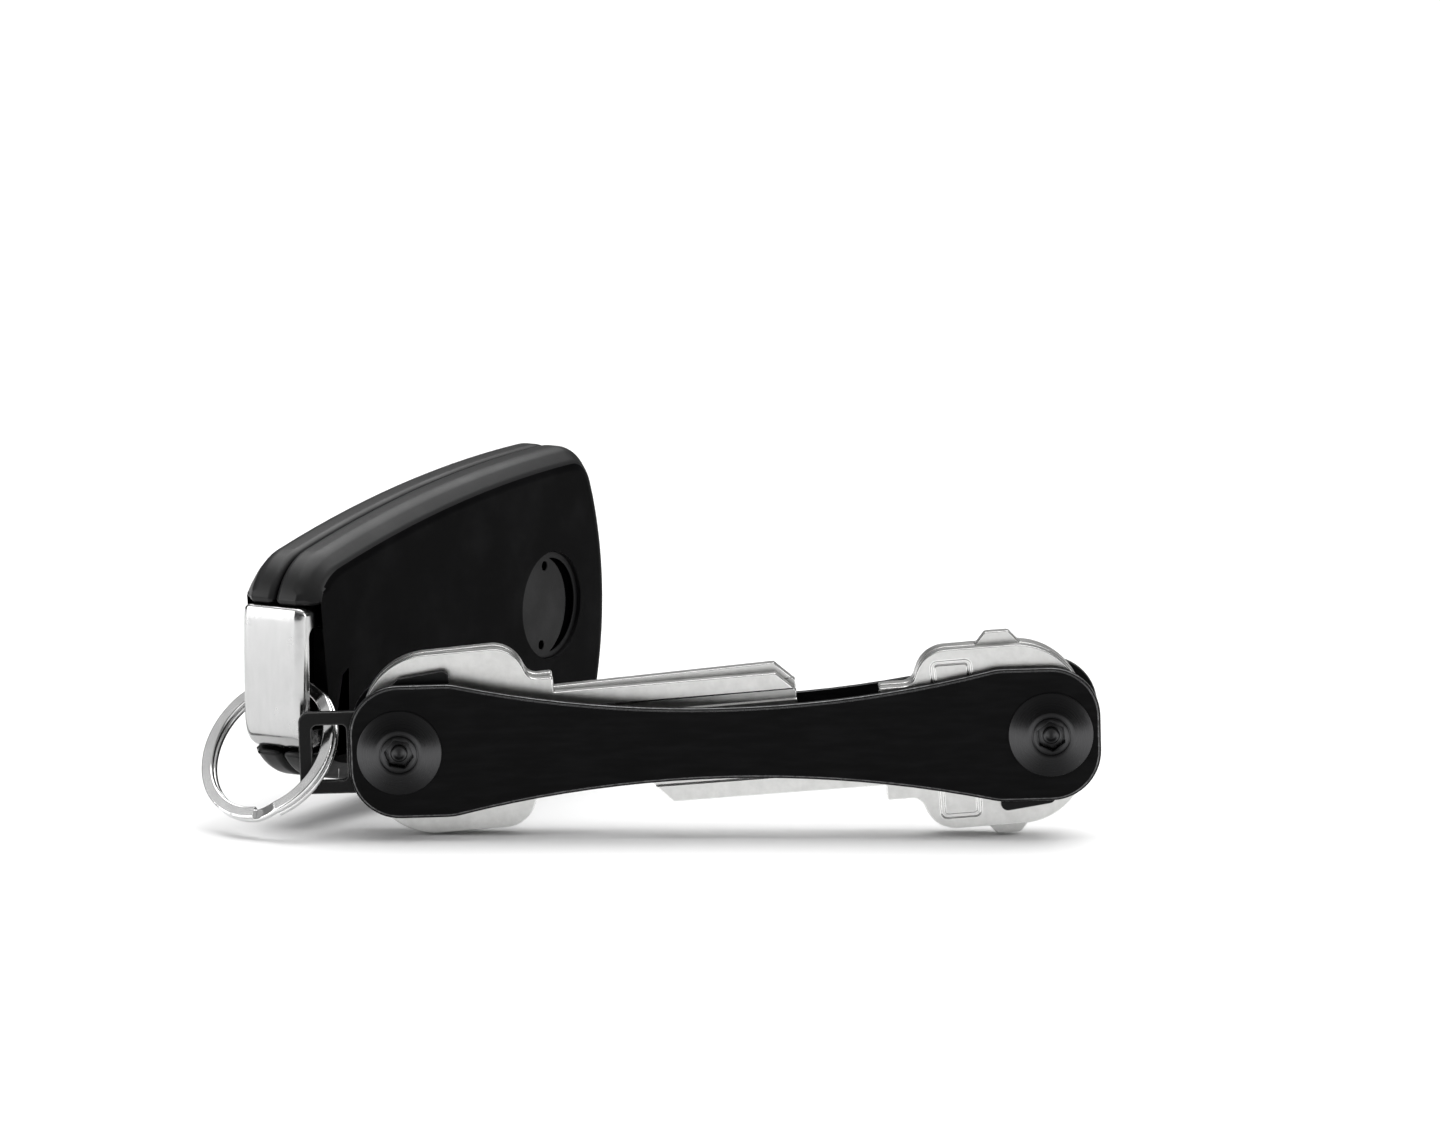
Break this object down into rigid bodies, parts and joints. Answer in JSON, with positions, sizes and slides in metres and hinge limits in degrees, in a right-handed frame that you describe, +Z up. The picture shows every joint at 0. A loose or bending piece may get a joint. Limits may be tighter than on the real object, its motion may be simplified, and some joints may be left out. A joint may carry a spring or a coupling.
{
  "type": "key organiser",
  "caption": "Folding key organiser: two dog-bone plates on threaded posts with swing-out house keys, a loop piece and a split ring that carries a car key fob.",
  "frame": {"origin": "middle of the assembly's footprint, on the surface that it stands on", "axes": "+X along the organiser from the loop piece to the other end, -Y out of the organiser's front plate, +Z up"},
  "size_m": [0.1112, 0.0702, 0.0409],
  "materials": {
    "plate": "black anodised, satin",
    "screw": "black oxide, turned",
    "spacer": "black, satin",
    "washer": "plain steel",
    "key": "nickel plated, brushed",
    "ring": "polished steel",
    "shell": "black, fine satin",
    "button": "dark grey rubberised",
    "chrome": "polished chrome",
    "seal": "black",
    "cell": "stainless",
    "board": "green lacquer",
    "contact": "gold plated",
    "switch": "black"
  },
  "bodies": {
    "organiser": {"front_plate": "plate", "back_plate": "plate", "posts": "screw", "screws": "screw", "left_cam_spacer": "spacer", "right_cam_spacer": "spacer", "left_spacer_washer": "washer", "back_washers": "washer", "key_shims": "washer"},
    "left_front_key": {"left_front_key": "key"},
    "left_back_key": {"left_back_key": "key"},
    "right_front_key": {"right_front_key": "key"},
    "right_middle_key": {"right_middle_key": "key"},
    "right_back_key": {"right_back_key": "key"},
    "loop_piece": {"loop_piece": "spacer"},
    "split_ring": {"split_ring": "ring"},
    "spare_key": {"fob_end_cap": "chrome", "spare_key_blade": "key"},
    "fob_case": {"fob_cover_shell": "shell", "fob_button_shell": "shell", "fob_cover_seal": "seal", "coin_cell": "cell", "circuit_board": "board", "battery_contacts": "contact", "button_switches": "switch"},
    "battery_cover": {"fob_battery_cover": "shell"},
    "lock_button": {"lock_button": "button"},
    "unlock_button": {"unlock_button": "button"},
    "boot_button": {"boot_button": "button"},
    "spare_key_slider": {"spare_key_slider": "button"}
  },
  "joints": [
    {"name": "left_front_key_turn", "type": "hinge", "parent": "organiser", "child": "left_front_key", "pos_m": [-0.03062, -0.03378, 0.01106], "axis": [0, -1, 0], "range_deg": [0, 40]},
    {"name": "left_back_key_turn", "type": "hinge", "parent": "organiser", "child": "left_back_key", "pos_m": [-0.03062, -0.03378, 0.01106], "axis": [0, -1, 0], "range_deg": [0, 40]},
    {"name": "right_front_key_turn", "type": "hinge", "parent": "organiser", "child": "right_front_key", "pos_m": [0.04935, -0.03378, 0.01332], "axis": [0, -1, 0], "range_deg": [0, 180]},
    {"name": "right_middle_key_turn", "type": "hinge", "parent": "organiser", "child": "right_middle_key", "pos_m": [0.04935, -0.03378, 0.01332], "axis": [0, -1, 0], "range_deg": [0, 180]},
    {"name": "right_back_key_turn", "type": "hinge", "parent": "organiser", "child": "right_back_key", "pos_m": [0.04935, -0.03378, 0.01332], "axis": [0, -1, 0], "range_deg": [0, 180]},
    {"name": "loop_piece_turn", "type": "hinge", "parent": "organiser", "child": "loop_piece", "pos_m": [-0.03062, -0.03378, 0.01106], "axis": [0, -1, 0], "range_deg": [-12, 45]},
    {"name": "split_ring_turn", "type": "hinge", "parent": "loop_piece", "child": "split_ring", "pos_m": [-0.03929, -0.03198, 0.01167], "axis": [-0.1885, -0.5429, -0.8183], "range_deg": [-18, 6]},
    {"name": "fob_swing", "type": "hinge", "parent": "split_ring", "child": "spare_key", "pos_m": [-0.04426, -0.02315, 0.01777], "axis": [0.8554, -0.518, 0], "range_deg": [-20, 60]},
    {"name": "spare_key_pull", "type": "slide", "parent": "spare_key", "child": "fob_case", "axis": [0.518, 0.8554, 0.0052], "range_m": [0, 0.038]},
    {"name": "battery_cover_turn", "type": "hinge", "parent": "fob_case", "child": "battery_cover", "pos_m": [-0.01341, 0.01814, 0.02102], "axis": [0.8554, -0.518, 0], "range_deg": [0, 30]},
    {"name": "lock_button_press", "type": "slide", "parent": "fob_case", "child": "lock_button", "axis": [0.8554, -0.518, 0], "range_m": [0, 0.0004], "stiffness_N_per_m": 1500, "springref_m": -0.0004},
    {"name": "unlock_button_press", "type": "slide", "parent": "fob_case", "child": "unlock_button", "axis": [0.8554, -0.518, 0], "range_m": [0, 0.0004], "stiffness_N_per_m": 1500, "springref_m": -0.0004},
    {"name": "boot_button_press", "type": "slide", "parent": "fob_case", "child": "boot_button", "axis": [0.8554, -0.518, 0], "range_m": [0, 0.0004], "stiffness_N_per_m": 1500, "springref_m": -0.0004},
    {"name": "slider_push", "type": "slide", "parent": "fob_case", "child": "spare_key_slider", "axis": [0.518, 0.8554, 0.0052], "range_m": [0, 0.0015], "stiffness_N_per_m": 500, "springref_m": -0.001}
  ]
}
